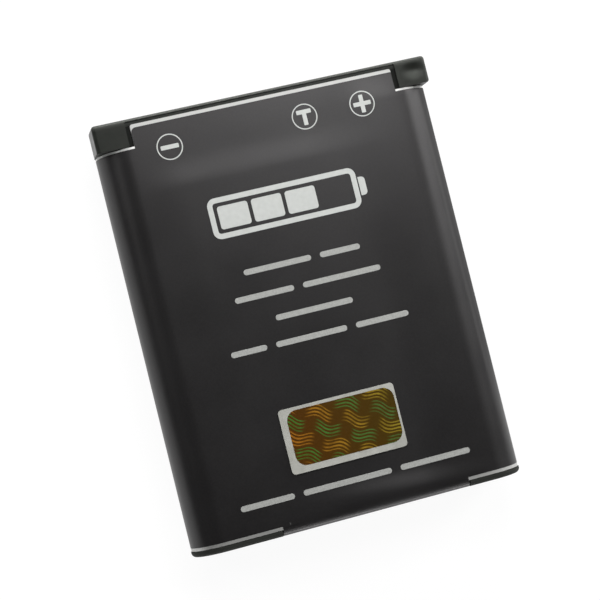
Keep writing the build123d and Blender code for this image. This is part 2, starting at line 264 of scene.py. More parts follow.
x, y = axes(label_black)[:2]
rubbed = patch(label_black, ramp(label_black, x, RUBBED_FROM, RUBBED_TO),
               ramp(label_black, y, RUBBED_LOW, RUBBED_HIGH))
satin = spread(label_black, noise(label_black, SATIN_PATCH, detail=2), SATIN_LOW, SATIN_HIGH)
sheen = math_node(label_black, "MULTIPLY_ADD", rubbed, RUBBED_DULL, satin)
feed(label_black, shader.inputs["Roughness"], sheen)
tell(label_black)

# %% [markdown]
# ## How the film lies
#
# The film springs up in a low bulge before it folds over the plain end, and one corner of its top tab
# leans in. It also steps down from the cell onto the contact cap, and starts to turn just before the
# fold. A satin black shows such slopes plainly. The mesh further down has the bulge and the lean, but
# only as much as the pack's real thickness allows, so bump adds some of each here. The step and the turn
# are slighter still, and bump alone draws them.

# %% Slopes of the film, in shading
BULGE_LEFT, BULGE_MIDDLE, BULGE_RIGHT = -10 * MM, 4 * MM, 14.5 * MM
BULGE_LOW, BULGE_CREST, BULGE_HIGH = (cad_low.y + rise * MM for rise in (0.62, 1.3, 3.2))
BULGE_SLANT = 0.09  # towards the right it lies nearer to the fold
BULGE_SHEEN = 0.16 * MM
STEP_LEFT, STEP_RIGHT = (-13.5 * MM, -8.5 * MM), (12 * MM, 2 * MM)  # where it starts, where it is full
STEP_LOW, STEP_HIGH = 12.7 * MM, 16.5 * MM
STEP_SHEEN = 0.115 * MM
FOLD_START, FOLD_END = cad_low.y + 0.85 * MM, cad_low.y + 0.28 * MM
FOLD_SHEEN = 0.105 * MM
LEAN_LEFT, LEAN_RIGHT = 6 * MM, 12.4 * MM
LEAN_LOW, LEAN_HIGH = 16.6 * MM, 20.4 * MM
LEAN_SHEEN = 0.28 * MM
RIPPLE, RIPPLE_DEPTH = 3.5 * MM, 0.012 * MM
TOOTH_DEPTH = 0.001 * MM

from_middle = math_node(label_black, "SUBTRACT", x, BULGE_MIDDLE)
slanted = math_node(label_black, "MULTIPLY_ADD", from_middle, BULGE_SLANT, y)
bulge = patch(label_black,
              ramp(label_black, x, BULGE_LEFT, BULGE_MIDDLE),
              ramp(label_black, x, BULGE_RIGHT, BULGE_MIDDLE),
              ramp(label_black, slanted, BULGE_HIGH, BULGE_CREST))
step = ramp(label_black, y, STEP_HIGH, STEP_LOW)
step = patch(label_black, step, step,  # squared, so that it is steepest near the cell
             ramp(label_black, x, *STEP_LEFT), ramp(label_black, x, *STEP_RIGHT))
before_fold = ramp(label_black, y, FOLD_END, FOLD_START)
lean = patch(label_black,
             ramp(label_black, x, LEAN_LEFT, LEAN_RIGHT), ramp(label_black, y, LEAN_HIGH, LEAN_LOW))
add_bump(label_black, shader, bulge, BULGE_SHEEN)
add_bump(label_black, shader, before_fold, FOLD_SHEEN)
add_bump(label_black, shader, step, STEP_SHEEN)
add_bump(label_black, shader, lean, LEAN_SHEEN)
add_bump(label_black, shader, noise(label_black, RIPPLE, detail=1), RIPPLE_DEPTH)
add_bump(label_black, shader, noise(label_black, INK_GRAIN, detail=2), TOOTH_DEPTH)
tell(label_black)

# %% [markdown]
# ## The white film
#
# Under the ink the label is a white plastic film, which shows as thin lines where the print stops short
# of a cut edge. The line along the top tab is a little grey. The lines at the plain end are greyer still,
# as painted shade, but not at the far left, where they turn down the side, and a little less towards the
# right. Masks along X and Y tint the white.

# %% Grey lines and painted shade on the white
FILM_DARK, FILM_LIGHT = (0.74, 0.74, 0.72), (0.86, 0.86, 0.84)
FILM_GRAIN = 0.2 * MM
FILM_SATIN_LOW, FILM_SATIN_HIGH = 0.35, 0.5
TAB_LINE_FROM, TAB_LINE_TO = 18.1 * MM, 18.7 * MM  # along Y, from white to grey
TAB_LINE_GREY = (0.52, 0.52, 0.505)
FOOT_SHADE_FROM, FOOT_SHADE_TO = -12 * MM, -18 * MM  # along Y too
FOOT_SHADE_LEFT, FOOT_SHADE_RIGHT = (-15.5 * MM, -14.2 * MM), (24 * MM, 8 * MM)  # along X, from none to full
# painted shade on the lines at the plain end
FOOT_PAINTED_SHADE = (0.28, 0.28, 0.27)

film_white, shader = new_finish("film_white")
grain = noise(film_white, FILM_GRAIN)
white = blend(film_white, spread(film_white, grain, 0, 1), FILM_DARK, FILM_LIGHT)
x, y = axes(film_white)[:2]
foot_painted_shade = patch(film_white, ramp(film_white, y, FOOT_SHADE_FROM, FOOT_SHADE_TO),
               ramp(film_white, x, *FOOT_SHADE_LEFT), ramp(film_white, x, *FOOT_SHADE_RIGHT))
white = blend(film_white, ramp(film_white, y, TAB_LINE_FROM, TAB_LINE_TO), white, TAB_LINE_GREY)
# the lines at the plain end are greyed as painted shade
white = blend(film_white, foot_painted_shade, white, FOOT_PAINTED_SHADE)
feed(film_white, shader.inputs["Base Color"], white)
satin = spread(film_white, grain, FILM_SATIN_LOW, FILM_SATIN_HIGH)
feed(film_white, shader.inputs["Roughness"], satin)
tell(film_white)

# %% [markdown]
# ## Tools for modelling
#
# Each piece below starts as a primitive and is shaped in edit mode. The operators act on whatever is
# selected, so a few helpers keep the selection under control: one opens a fresh object for editing, one
# selects vertices, edges or faces by their place, and one scores the mesh along a plane.

# %% Open, pick and score
TOUCH = 0.01 * MM  # two places this close are the same


def start_editing(name):
    """Names the primitive that was just added, and opens it in edit mode."""
    piece = bpy.context.object
    piece.name = name
    piece.data.name = name
    bpy.ops.object.transform_apply(location=True, rotation=True, scale=True)
    bpy.ops.object.mode_set(mode="EDIT")
    return piece


def pick(kind, test):
    """In edit mode, selects just the vertices, edges or faces that pass a test."""
    bpy.ops.mesh.select_mode(type=kind)
    bpy.ops.mesh.select_all(action="DESELECT")
    mesh = bmesh.from_edit_mesh(bpy.context.object.data)
    for item in {"VERT": mesh.verts, "EDGE": mesh.edges, "FACE": mesh.faces}[kind]:
        if test(item):
            item.select_set(True)
    bmesh.update_edit_mesh(bpy.context.object.data)


def pick_all(kind):
    """In edit mode, selects every vertex, edge or face."""
    bpy.ops.mesh.select_mode(type=kind)
    bpy.ops.mesh.select_all(action="SELECT")


def middle(item):
    """Middle point of an edge or a face."""
    return sum((v.co for v in item.verts), Vector()) / len(item.verts)


def score(point, normal):
    """Cuts a row of edges into the whole mesh along a plane, and leaves both sides in place."""
    bpy.ops.mesh.select_all(action="SELECT")
    bpy.ops.mesh.bisect(plane_co=point, plane_no=normal)


# %% Pull, round, thicken and finish
SMOOTH_BELOW = math.radians(35)  # edges that turn by less are shaded smooth


def extrude_edges(move):
    """Pulls new faces out of the selected edges."""
    bpy.ops.mesh.extrude_edges_move(TRANSFORM_OT_translate={"value": move})


def round_points(radius, segments):
    """Rounds off a flat outline at the selected vertices."""
    bpy.ops.mesh.bevel(offset=radius, segments=segments, profile=0.5, affect="VERTICES")


def round_corner(x, y, radius):
    """Rounds off a flat outline's corner at x and y."""
    pick("VERT", lambda v: abs(v.co.x - x) < TOUCH and abs(v.co.y - y) < TOUCH)
    round_points(radius, segments=8)


def add_thickness(piece, thickness):
    """Closes an open skin into a thin solid, inwards from its outer face."""
    bpy.ops.object.mode_set(mode="OBJECT")
    wall = piece.modifiers.new("Wall", "SOLIDIFY")
    wall.thickness = thickness
    wall.offset = -1
    wall.use_even_offset = True
    bpy.ops.object.modifier_apply(modifier=wall.name)


def finish_piece(piece, material, stands_for=None):
    """Gives a piece its shading, its finish and its place on the frame."""
    bpy.ops.object.shade_smooth_by_angle(angle=SMOOTH_BELOW)
    piece.data.materials.clear()
    piece.data.materials.append(material)
    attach(piece, "root")
    if stands_for:
        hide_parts(stands_for)
    bpy.ops.object.select_all(action="DESELECT")
    print(piece.name, "has", len(piece.data.polygons), "faces")


bpy.ops.object.select_all(action="DESELECT")

# %% [markdown]
# ## The label
#
# The label wraps the cell and both caps. It has a tab up over the contact cap on the front and on the
# back, between the cap's corner blocks, and a third tab that folds over the plain end. The print stops
# short of some cut edges, so thin white lines show there. One mesh with a painted border could stand for
# it, but the lines would then be as blurred as the paint. We build the two real layers: a white film, and
# a skin of black ink a hundredth of a millimetre above it, with its own, slightly smaller outline.

# %% Sizes of the label
label_low, label_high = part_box("label_wrap")
pack_top, pack_foot = cad_high.y, cad_low.y
HALF_TAB = 12.32 * MM
TAB_DROP = 0.57 * MM  # from the contact end down to the top tabs
SHOULDER_DROP = 2.55 * MM  # from the contact end down to the label's shoulders
FOOT_RISE = 0.57 * MM  # from the plain end up to the label's foot
FOOT_TAB_LEFT = -7.6 * MM
FOOT_TAB_RIGHT = 10.1 * MM
FOOT_TAB_BACK = 0.6 * MM
FOLD_BEND = 0.56 * MM
SEAM_LEFT, SEAM_RIGHT = 12.44 * MM, 12.64 * MM  # the wrap's two ends don't quite meet, at the back
print("label in mm:", [round(v / MM, 2) for v in label_high - label_low])

# %% [markdown]
# ### Sleeve and tabs
#
# The sleeve is a box whose long edges are bevelled fully round, with its two ends taken away. Each tab is
# pulled out of the open edge that it hangs on, so film and tab stay one sheet. The fold at the plain end
# is a quarter turn made with spin, which keeps its round even.

# %% Sleeve
SIDE_STEPS = 24  # flat strips in each quarter round


def open_sleeve(name, inset, top, foot):
    """Sleeve round the pack, inset from the CAD label's skin, open at both ends."""
    width = label_high.x - label_low.x - 2 * inset
    thickness = label_high.z - label_low.z - 2 * inset
    centre = (0, (top + foot) / 2, (label_high.z + label_low.z) / 2)
    bpy.ops.mesh.primitive_cube_add(size=1, location=centre, scale=(width, top - foot, thickness))
    piece = start_editing(name)
    pick("EDGE", lambda e: abs(e.verts[0].co.y - e.verts[1].co.y) > TOUCH)
    bpy.ops.mesh.bevel(offset=thickness / 2, segments=SIDE_STEPS, profile=0.5,
                       affect="EDGES", clamp_overlap=False)
    bpy.ops.mesh.select_all(action="SELECT")
    bpy.ops.mesh.remove_doubles(threshold=TOUCH / 4)
    pick("FACE", lambda f: abs(f.normal.y) > 0.9)
    bpy.ops.mesh.delete(type="FACE")
    return piece


# %% Tabs
FOLD_STEPS = 10


def on_edge(edge, y, level, left, right):
    """Tells whether an edge lies at y on a level of Z, between left and right."""
    return all(abs(v.co.y - y) < TOUCH and abs(v.co.z - level) < TOUCH
               and left - TOUCH < v.co.x < right + TOUCH for v in edge.verts)


def pull_top_tab(level, shoulder, tab_top):
    """Pulls a tab out of the sleeve's top edge, on the face at a level of Z."""
    pick("EDGE", lambda e: on_edge(e, shoulder, level, -HALF_TAB, HALF_TAB))
    extrude_edges((0, tab_top - shoulder, 0))


def pull_foot_tab(level, foot, bend):
    """Pulls a tab out of the sleeve's foot, and folds it over the plain end."""
    pick("EDGE", lambda e: on_edge(e, foot, level, FOOT_TAB_LEFT, FOOT_TAB_RIGHT))
    end = pack_foot + (label_high.z - level)
    extrude_edges((0, end + bend - foot, 0))
    bpy.ops.mesh.spin(steps=FOLD_STEPS, angle=math.radians(-90),
                      center=(0, end + bend, level - bend), axis=(1, 0, 0))
    extrude_edges((0, 0, FOOT_TAB_BACK - (level - bend)))


# %% [markdown]
# ### A front that isn't quite flat
#
# The bulge before the fold and the leaning corner are only hundredths of a millimetre high. A sculpting
# brush could raise them, but not twice in the same way. We score columns and rows of edges across the
# front, and move each of their points by a smooth formula.

# %% Bulge and lean
BULGE = 0.076 * MM
CREASE_DROP = 2.7 * MM  # from here the front tab leans in, more and more to the right
CORNER_LEAN = 0.085 * MM
FRONT_COLUMNS = [x * MM for x in range(-6, 12, 2)]  # every 2 mm across the bulge
BULGE_ROWS = 12


def hump(value, start, top, end):
    """Rises smoothly from 0 at start to 1 at top, and falls back to 0 at end."""
    share = (value - start) / (top - start) if value < top else (end - value) / (end - top)
    return math.sin(math.pi / 2 * min(1, max(0, share))) ** 2


def front_offset(x, y):
    """How far the front stands above its flat level at x and y."""
    lean_share = max(0, x) / HALF_TAB
    lean_reach = max(0, y - (pack_top - CREASE_DROP)) / (CREASE_DROP - TAB_DROP)
    bulge_share = hump(x, BULGE_LEFT, BULGE_MIDDLE, BULGE_RIGHT)
    bulge_reach = hump(y, BULGE_LOW, BULGE_CREST, BULGE_HIGH)
    return BULGE * bulge_share * bulge_reach - CORNER_LEAN * lean_share * lean_reach


def ease_front(level):
    """Moves each point of the front up or down, as a film that doesn't lie quite flat."""
    mesh = bmesh.from_edit_mesh(bpy.context.object.data)
    points = [(v.index, front_offset(v.co.x, v.co.y)) for v in mesh.verts
              if abs(v.co.z - level) < TOUCH and abs(v.co.x) < HALF_TAB + TOUCH]
    for index, offset in points:
        if offset:
            pick("VERT", lambda v: v.index == index)
            bpy.ops.transform.translate(value=(0, 0, offset))


# %% [markdown]
# ### Film and ink
#
# Both layers come from one function. The ink gets a margin at each edge where white shows, and a rounder
# corner at the left of the top tab than at the right, as it was printed. The wall thickness comes last,
# when the normals of the open skin point outwards.

# %% One layer of the label
def make_label_layer(name, inset, thickness, margins, corners):
    """White film or black ink. Margins say how far it stops short at tab, shoulder and foot."""
    tab_top = pack_top - TAB_DROP - margins[0]
    shoulder = pack_top - SHOULDER_DROP - margins[1]
    foot = pack_foot + FOOT_RISE + margins[2]
    front, back = label_high.z - inset, label_low.z + inset
    piece = open_sleeve(name, inset, shoulder, foot)
    for x in (-HALF_TAB, HALF_TAB, FOOT_TAB_LEFT, FOOT_TAB_RIGHT, SEAM_LEFT, SEAM_RIGHT, *FRONT_COLUMNS):
        score((x, 0, 0), (1, 0, 0))
    pick("FACE", lambda f: middle(f).z < back + TOUCH and SEAM_LEFT < middle(f).x < SEAM_RIGHT)
    bpy.ops.mesh.delete(type="FACE")
    pull_top_tab(front, shoulder, tab_top)
    pull_top_tab(back, shoulder, tab_top)
    pull_foot_tab(front, foot, FOLD_BEND - inset)
    score((0, pack_top - CREASE_DROP, 0), (0, 1, 0))
    for row in range(BULGE_ROWS + 1):
        score((0, BULGE_LOW + (BULGE_HIGH - BULGE_LOW) * row / BULGE_ROWS, 0), (0, 1, 0))
    for side, radius in zip((-1, 1), corners):
        round_corner(side * HALF_TAB, tab_top, radius)
    ease_front(front)
    bpy.ops.mesh.select_all(action="SELECT")
    bpy.ops.mesh.normals_make_consistent(inside=False)
    add_thickness(piece, thickness)
    return piece


# %% White film, black ink
INK_ABOVE = 0.01 * MM
FILM_THICKNESS, INK_THICKNESS = 0.085 * MM, 0.008 * MM
FILM_CORNERS = (0.2 * MM, 0.2 * MM)
INK_MARGINS = (0.31 * MM, 0.19 * MM, 0.3 * MM)
INK_CORNERS = (0.45 * MM, 0.1 * MM)

label_film = make_label_layer("label_film", INK_ABOVE, FILM_THICKNESS, (0, 0, 0), FILM_CORNERS)
finish_piece(label_film, film_white, stands_for="label_wrap")
label_ink = make_label_layer("label_ink", 0, INK_THICKNESS, INK_MARGINS, INK_CORNERS)
finish_piece(label_ink, label_black)

# %% [markdown]
# ## The print
#
# Pale ink marks the front: three contact marks, a plain battery sign and rows of plain bars. A pattern in
# the film's material could stand for it, but modelled shapes keep crisp edges at any distance. Each shape
# is drawn flat, from a circle or a plane, and gets a few hundredths of a millimetre of depth, so that it
# lies in the film and stands only microns above it.

# %% Pale ink
ink_white = grainy_finish("ink_white", dark=(0.51, 0.525, 0.505), light=(0.55, 0.565, 0.545),
                          grain=0.4 * MM, roughness=(0.4, 0.5))
ink_grey = grainy_finish("ink_grey", dark=(0.32, 0.325, 0.31), light=(0.42, 0.425, 0.405),
                         grain=0.12 * MM, roughness=(0.4, 0.5))

# %% Flat shapes on the front
PRINT_RISE = 0.004 * MM
PRINT_DEPTH = 0.04 * MM
PRINT_LEVEL = label_high.z + PRINT_RISE


def add_plate(left, right, low, high, level=PRINT_LEVEL):
    """Flat rectangle, as a new object or, in edit mode, as more of the same mesh."""
    centre = ((left + right) / 2, (low + high) / 2, level)
    bpy.ops.mesh.primitive_plane_add(size=1, location=centre)
    bpy.ops.transform.resize(value=(right - left, high - low, 1), center_override=centre)


def grow(start, way, reach):
    """Lengthens a flat shape: finds its edge whose middle is at start, and pulls it out."""
    pick("EDGE", lambda e: (middle(e) - start).length < TOUCH)
    extrude_edges(way * reach)


# %% [markdown]
# ### Contact marks
#
# A bar, a T and a cross, each in a ring, mark the negative, temperature and positive contacts. The ring
# is a filled circle with its inset face taken out. The sign inside grows from a small square, one arm
# each way, so one function draws all three.

# %% Rings and signs
RING_RADIUS = 1.19 * MM
RING_STROKE = 0.1 * MM
RING_POINTS = 64
SIGN_STROKE = 0.39 * MM
SIGN_ARM = 0.83 * MM
SIGN_SOFTENING = 0.06 * MM
T_RISE, T_ARM, T_STEM = 0.45 * MM, 0.69 * MM, 1.24 * MM
LEFT, RIGHT, UP, DOWN = Vector((-1, 0, 0)), Vector((1, 0, 0)), Vector((0, 1, 0)), Vector((0, -1, 0))


def make_mark(name, x, drop, rise, arms):
    """Ring with a sign in it. The sign grows from a square that stands rise above the ring's centre."""
    centre = Vector((x, pack_top - drop, PRINT_LEVEL))
    bpy.ops.mesh.primitive_circle_add(vertices=RING_POINTS, radius=RING_RADIUS, fill_type="NGON",
                                      location=centre)
    piece = start_editing(name)
    bpy.ops.mesh.select_all(action="SELECT")
    bpy.ops.mesh.inset(thickness=RING_STROKE)
    bpy.ops.mesh.delete(type="FACE")
    half = SIGN_STROKE / 2
    hub = centre + UP * rise
    add_plate(x - half, x + half, hub.y - half, hub.y + half)
    for way, reach in arms:
        grow(hub + way * half, way, reach - half)
    well_inside = RING_RADIUS - 2 * RING_STROKE
    pick("VERT", lambda v: len(v.link_edges) == 2 and (v.co - centre).length < well_inside)
    round_points(SIGN_SOFTENING, segments=3)
    add_thickness(piece, PRINT_DEPTH)
    finish_piece(piece, ink_white)


make_mark("mark_negative", x=-9.26 * MM, drop=3.26 * MM, rise=0,
          arms=[(way, SIGN_ARM) for way in (LEFT, RIGHT)])
make_mark("mark_temperature", x=3.42 * MM, drop=3.21 * MM, rise=T_RISE,
          arms=[(LEFT, T_ARM), (RIGHT, T_ARM), (DOWN, T_STEM)])
make_mark("mark_positive", x=8.95 * MM, drop=3.18 * MM, rise=0,
          arms=[(way, SIGN_ARM) for way in (LEFT, RIGHT, UP, DOWN)])

# %% [markdown]
# ### Battery sign
#
# A plain battery sign stands in the middle of the front: a rounded frame, a nub at its right and three
# full cells of four. The frame is a rounded plate with its inset face taken out, and the cells are small
# plates set out evenly inside it. All of it is one mesh, because it is one patch of ink.

# %% Frame of the sign
SIGN_LEFT, SIGN_RIGHT = -7.3 * MM, 6.7 * MM
SIGN_LOW, SIGN_HIGH = pack_foot + 27.1 * MM, pack_foot + 30.85 * MM
SIGN_LINE = 0.48 * MM
SIGN_CORNER = 0.75 * MM

add_plate(SIGN_LEFT, SIGN_RIGHT, SIGN_LOW, SIGN_HIGH)
battery_sign = start_editing("battery_sign")
pick_all("VERT")
round_points(SIGN_CORNER, segments=8)
pick_all("FACE")
bpy.ops.mesh.inset(thickness=SIGN_LINE)
bpy.ops.mesh.delete(type="FACE")
print("sign's frame in mm:", [round(v / MM, 2) for v in (SIGN_RIGHT - SIGN_LEFT, SIGN_HIGH - SIGN_LOW)])

# %% Cells and nub
SIGN_GAP = 0.34 * MM
SIGN_CELLS, FULL_CELLS = 4, 3
CELL_CORNER = 0.25 * MM
NUB_GAP, NUB_REACH, NUB_HALF, NUB_CORNER = 0.12 * MM, 0.75 * MM, 0.85 * MM, 0.35 * MM

border = SIGN_LINE + SIGN_GAP
cell_step = (SIGN_RIGHT - SIGN_LEFT - 2 * border + SIGN_GAP) / SIGN_CELLS
for count in range(FULL_CELLS):
    cell_left = SIGN_LEFT + border + count * cell_step
    add_plate(cell_left, cell_left + cell_step - SIGN_GAP, SIGN_LOW + border, SIGN_HIGH - border)
    bpy.ops.mesh.select_mode(type="VERT")
    round_points(CELL_CORNER, segments=5)
sign_middle = (SIGN_LOW + SIGN_HIGH) / 2
nub_right = SIGN_RIGHT + NUB_REACH
add_plate(SIGN_RIGHT + NUB_GAP, nub_right, sign_middle - NUB_HALF, sign_middle + NUB_HALF)
for side in (1, -1):
    round_corner(nub_right, sign_middle + side * NUB_HALF, NUB_CORNER)
add_thickness(battery_sign, PRINT_DEPTH)
finish_piece(battery_sign, ink_white)

# %% [markdown]
# ### Plain bars
#
# Rows of grey bars stand below the sign and above the fold, as plain lines of print. A row could be one
# long strip, but a few bars with gaps between them look more like print from a step away. Each bar is a
# plate with round ends, and one mesh holds a row.

# %% Rows of bars
ROW_HEIGHT = 0.52 * MM
ROW_ROUND = 0.48  # share of the height that each corner's round takes
WORD_GAP = 0.85 * MM


def make_row(name, rise, half_width, shares):
    """Row of plain bars, centred on the front. Shares say how the row's width is split."""
    y = pack_foot + rise
    room = 2 * half_width - WORD_GAP * (len(shares) - 1)
    left = -half_width
    piece = None
    for share in shares:
        right = left + room * share / sum(shares)
        add_plate(left, right, y - ROW_HEIGHT / 2, y + ROW_HEIGHT / 2)
        if piece is None:
            piece = start_editing(name)
        left = right + WORD_GAP
    pick_all("VERT")
    round_points(ROW_HEIGHT * ROW_ROUND, segments=6)
    add_thickness(piece, PRINT_DEPTH)
    finish_piece(piece, ink_grey)


make_row("print_row_1", rise=23.7 * MM, half_width=5.5 * MM, shares=(5, 3))
make_row("print_row_2", rise=21.4 * MM, half_width=6.88 * MM, shares=(3, 4))
make_row("print_row_3", rise=19.1 * MM, half_width=3.65 * MM, shares=(1,))
make_row("print_row_4", rise=16.75 * MM, half_width=8.4 * MM, shares=(2, 4, 3))
make_row("print_row_5", rise=3.27 * MM, half_width=10.87 * MM, shares=(3, 5, 4))

# %% [markdown]
# ## The sticker's foil
#
# A small security sticker lies low on the front: a pale film with a window of dark, shimmering foil. The
# real foil splits light in a fine relief, so it looks brown at rest, with green and golden lines. Tracing
# that light would take long and come out noisy, so we draw the lines in the material: slanting bands of
# fine waves, broken into dashes, golden and green by turns, on a partly metallic base.

# %% Waves and bands
sticker_low, sticker_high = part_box("security_sticker")
FOIL_TURN = math.radians(24)
FOIL_SPECULAR = 0.2
BAND = 1.3  # millimetres from one band of waves to the next, measured across them
BAND_EDGE = (0.06, 0.16)  # shares of a band, from clear to full
WAVE_LENGTH, WAVE_HEIGHT = 2.7, 0.2  # in millimetres too
LINES_IN_BAND = 4
LINE_EDGE = (0.35, -0.55)  # values of the cosine, from clear to full

foil, shader = new_finish("foil", metallic=0.3)
shader.inputs["Specular IOR Level"].default_value = FOIL_SPECULAR
in_mm = node(foil, "ShaderNodeSeparateXYZ")
feed(foil, in_mm.inputs[0], placed(foil, scale=(1 / MM, 1 / MM, 0), turn=FOIL_TURN))
along, across = in_mm.outputs[0], in_mm.outputs[1]
swing = math_node(foil, "SINE", math_node(foil, "MULTIPLY", along, 2 * math.pi / WAVE_LENGTH))
waved = math_node(foil, "DIVIDE", math_node(foil, "MULTIPLY_ADD", swing, WAVE_HEIGHT, across), BAND)
band_number = math_node(foil, "FLOOR", waved)
band = ramp(foil, math_node(foil, "PINGPONG", waved, 0.5), *BAND_EDGE)
lines = math_node(foil, "COSINE", math_node(foil, "MULTIPLY", waved, 2 * math.pi * LINES_IN_BAND))
lines = ramp(foil, lines, *LINE_EDGE)
tell(foil)

# %% Dashes and shimmer
DASH_LENGTH = 3.4  # millimetres from one dash to the next
DASH_SHIFT = 1.9  # radians from one band's dashes to the next band's
DASH_EDGE = (-0.9, 0.1)  # values of the sine, from clear to full
SHIMMER_GRAIN = 0.9 * MM

dash_turn = math_node(foil, "MULTIPLY", along, 2 * math.pi / DASH_LENGTH)
dash_turn = math_node(foil, "MULTIPLY_ADD", band_number, DASH_SHIFT, dash_turn)
dashes = ramp(foil, math_node(foil, "SINE", dash_turn), *DASH_EDGE)
shimmer = spread(foil, noise(foil, SHIMMER_GRAIN), low=0.45, high=1.0, start=0.35, end=0.6)
strength = patch(foil, band, lines, dashes, shimmer)
tell(foil)

# %% Colours of the foil
FOIL_BROWN = (0.095, 0.034, 0.003), (0.070, 0.042, 0.004)  # at the left, at the right
FOIL_GOLD = (0.42, 0.15, 0.012), (0.31, 0.24, 0.022)
FOIL_GREEN = (0.060, 0.22, 0.03), (0.085, 0.17, 0.04)
FOIL_GRAIN = 0.2 * MM

sweep = spread(foil, axes(foil)[0], low=0, high=1, start=sticker_low.x, end=sticker_high.x)
ground = blend(foil, sweep, *FOIL_BROWN)
gold = blend(foil, sweep, *FOIL_GOLD)
green = blend(foil, sweep, *FOIL_GREEN)
by_turns = blend(foil, math_node(foil, "PINGPONG", band_number, 1.0), gold, green)
feed(foil, shader.inputs["Base Color"], blend(foil, strength, ground, by_turns))
feed(foil, shader.inputs["Roughness"], spread(foil, noise(foil, FOIL_GRAIN), low=0.3, high=0.45))
tell(foil)

# %% [markdown]
# ## The sticker's shape
#
# The sticker is two sheets: a pale one with small corner rounds, and the foil on it with large ones. The
# foil sits a little up and to the right of the middle, as the two were cut in separate steps. The real
# sheet lies a tenth of a millimetre further left than the solid, and its top edge as much further up, so
# its edges are set here. Each sheet is a plate with rounded corners and a wall thickness, so it has real
# edges that catch the light.

# %% Pale sheet and foil window
FOIL_THICKNESS = 0.01 * MM
BASE_CORNER, WINDOW_CORNER = 0.35 * MM, 1.0 * MM
BASE_LEFT, BASE_RIGHT = sticker_low.x - 0.13 * MM, sticker_high.x - 0.1 * MM
BASE_LOW, BASE_HIGH = sticker_low.y, sticker_high.y + 0.12 * MM
WINDOW_LEFT, WINDOW_RIGHT = BASE_LEFT + 0.64 * MM, BASE_RIGHT - 0.19 * MM
WINDOW_LOW, WINDOW_HIGH = BASE_LOW + 0.59 * MM, BASE_HIGH - 0.29 * MM
foil_level = sticker_high.z
base_level = foil_level - FOIL_THICKNESS
sticker_pale = grainy_finish("sticker_pale", dark=(0.38, 0.38, 0.345), light=(0.45, 0.45, 0.415),
                             grain=0.8 * MM, roughness=(0.35, 0.5))

add_plate(BASE_LEFT, BASE_RIGHT, BASE_LOW, BASE_HIGH, base_level)
sticker_base = start_editing("sticker_base")
pick_all("VERT")
round_points(BASE_CORNER, segments=8)
add_thickness(sticker_base, base_level - sticker_low.z)
finish_piece(sticker_base, sticker_pale, stands_for="security_sticker")

add_plate(WINDOW_LEFT, WINDOW_RIGHT, WINDOW_LOW, WINDOW_HIGH, foil_level)
sticker_window = start_editing("sticker_window")
pick_all("VERT")
round_points(WINDOW_CORNER, segments=12)
add_thickness(sticker_window, FOIL_THICKNESS)
finish_piece(sticker_window, foil)

# %% [markdown]
# ## The caps' plastic
#
# Both caps are moulded black plastic with a fine, dry grain, slightly greener than the film. The front
# edge at the contact end is pale, partly rubbed and partly a painted highlight where its round catches the
# light. The sides are rubbed a little smoother, and the rim at the plain end is dull and painted a little
# lighter, as painted light. The pocket round the top tab is dull, and painted dark as painted shade. The
# solids already have the right shape, so the finish adds grain, wear, and this painted light and shade.

# %% Skin, pocket and pale edge, with painted shade and highlight
CAP_DARK, CAP_LIGHT = (0.0080, 0.0088, 0.0072), (0.0138, 0.0148, 0.0125)
CAP_SPECULAR, CAP_TINT = 0.28, (0.96, 1.0, 0.94, 1)
CAP_PATCH = 1.2 * MM
POCKET_HALF = 12.8 * MM
POCKET_FOOT, POCKET_END = cad_high.y - 3 * MM, cad_high.y - 0.65 * MM
POCKET_LEVEL = cad_high.z - 0.1 * MM
# painted shade for the pocket's depth
POCKET_PAINTED_SHADE = (0.005, 0.005, 0.0045)
EDGE_FROM, EDGE_TO = cad_high.y - 0.6 * MM, cad_high.y - 0.1 * MM
EDGE_LEVEL = cad_high.z - 0.4 * MM
# partly rubbed wear, partly a painted highlight on the edge's round
EDGE_WEAR_AND_HIGHLIGHT = (0.050, 0.052, 0.047)
SIDE_FROM, SIDE_TO = 15.5 * MM, 15.65 * MM  # from the middle, to the left and to the right
RIM_FROM, RIM_TO = cad_low.y + 1.4 * MM, cad_low.y + 0.9 * MM
# painted light on the rim at the plain end
RIM_PAINTED_LIGHT = (0.0190, 0.0200, 0.0175)

cap_black, shader = new_finish("cap_black")
shader.inputs["Specular IOR Level"].default_value = CAP_SPECULAR
shader.inputs["Specular Tint"].default_value = CAP_TINT
x, y, z = axes(cap_black)
off_middle = math_node(cap_black, "ABSOLUTE", x)
pocket = patch(cap_black,
               math_node(cap_black, "LESS_THAN", off_middle, POCKET_HALF),
               math_node(cap_black, "GREATER_THAN", y, POCKET_FOOT),
               math_node(cap_black, "LESS_THAN", y, POCKET_END),
               math_node(cap_black, "LESS_THAN", z, POCKET_LEVEL))
edge = patch(cap_black, ramp(cap_black, y, EDGE_FROM, EDGE_TO),
             math_node(cap_black, "GREATER_THAN", z, EDGE_LEVEL))
side = ramp(cap_black, off_middle, SIDE_FROM, SIDE_TO)
rim = ramp(cap_black, y, RIM_FROM, RIM_TO)
rubbed = spread(cap_black, noise(cap_black, CAP_PATCH), 0, 1)
skin = blend(cap_black, rubbed, CAP_DARK, CAP_LIGHT)
tell(cap_black)

# %% [markdown]
# ### Sink mark and grain
#
# Thick plastic shrinks as it cools, and leaves a shallow dip over the corner block's core. On the
# right-hand block that sink mark shows, and a pale spot on its lower side is a painted highlight of the
# dip. The dip is too shallow to model, so it is a bump over a spot, under the bump of the plastic's own
# grain.

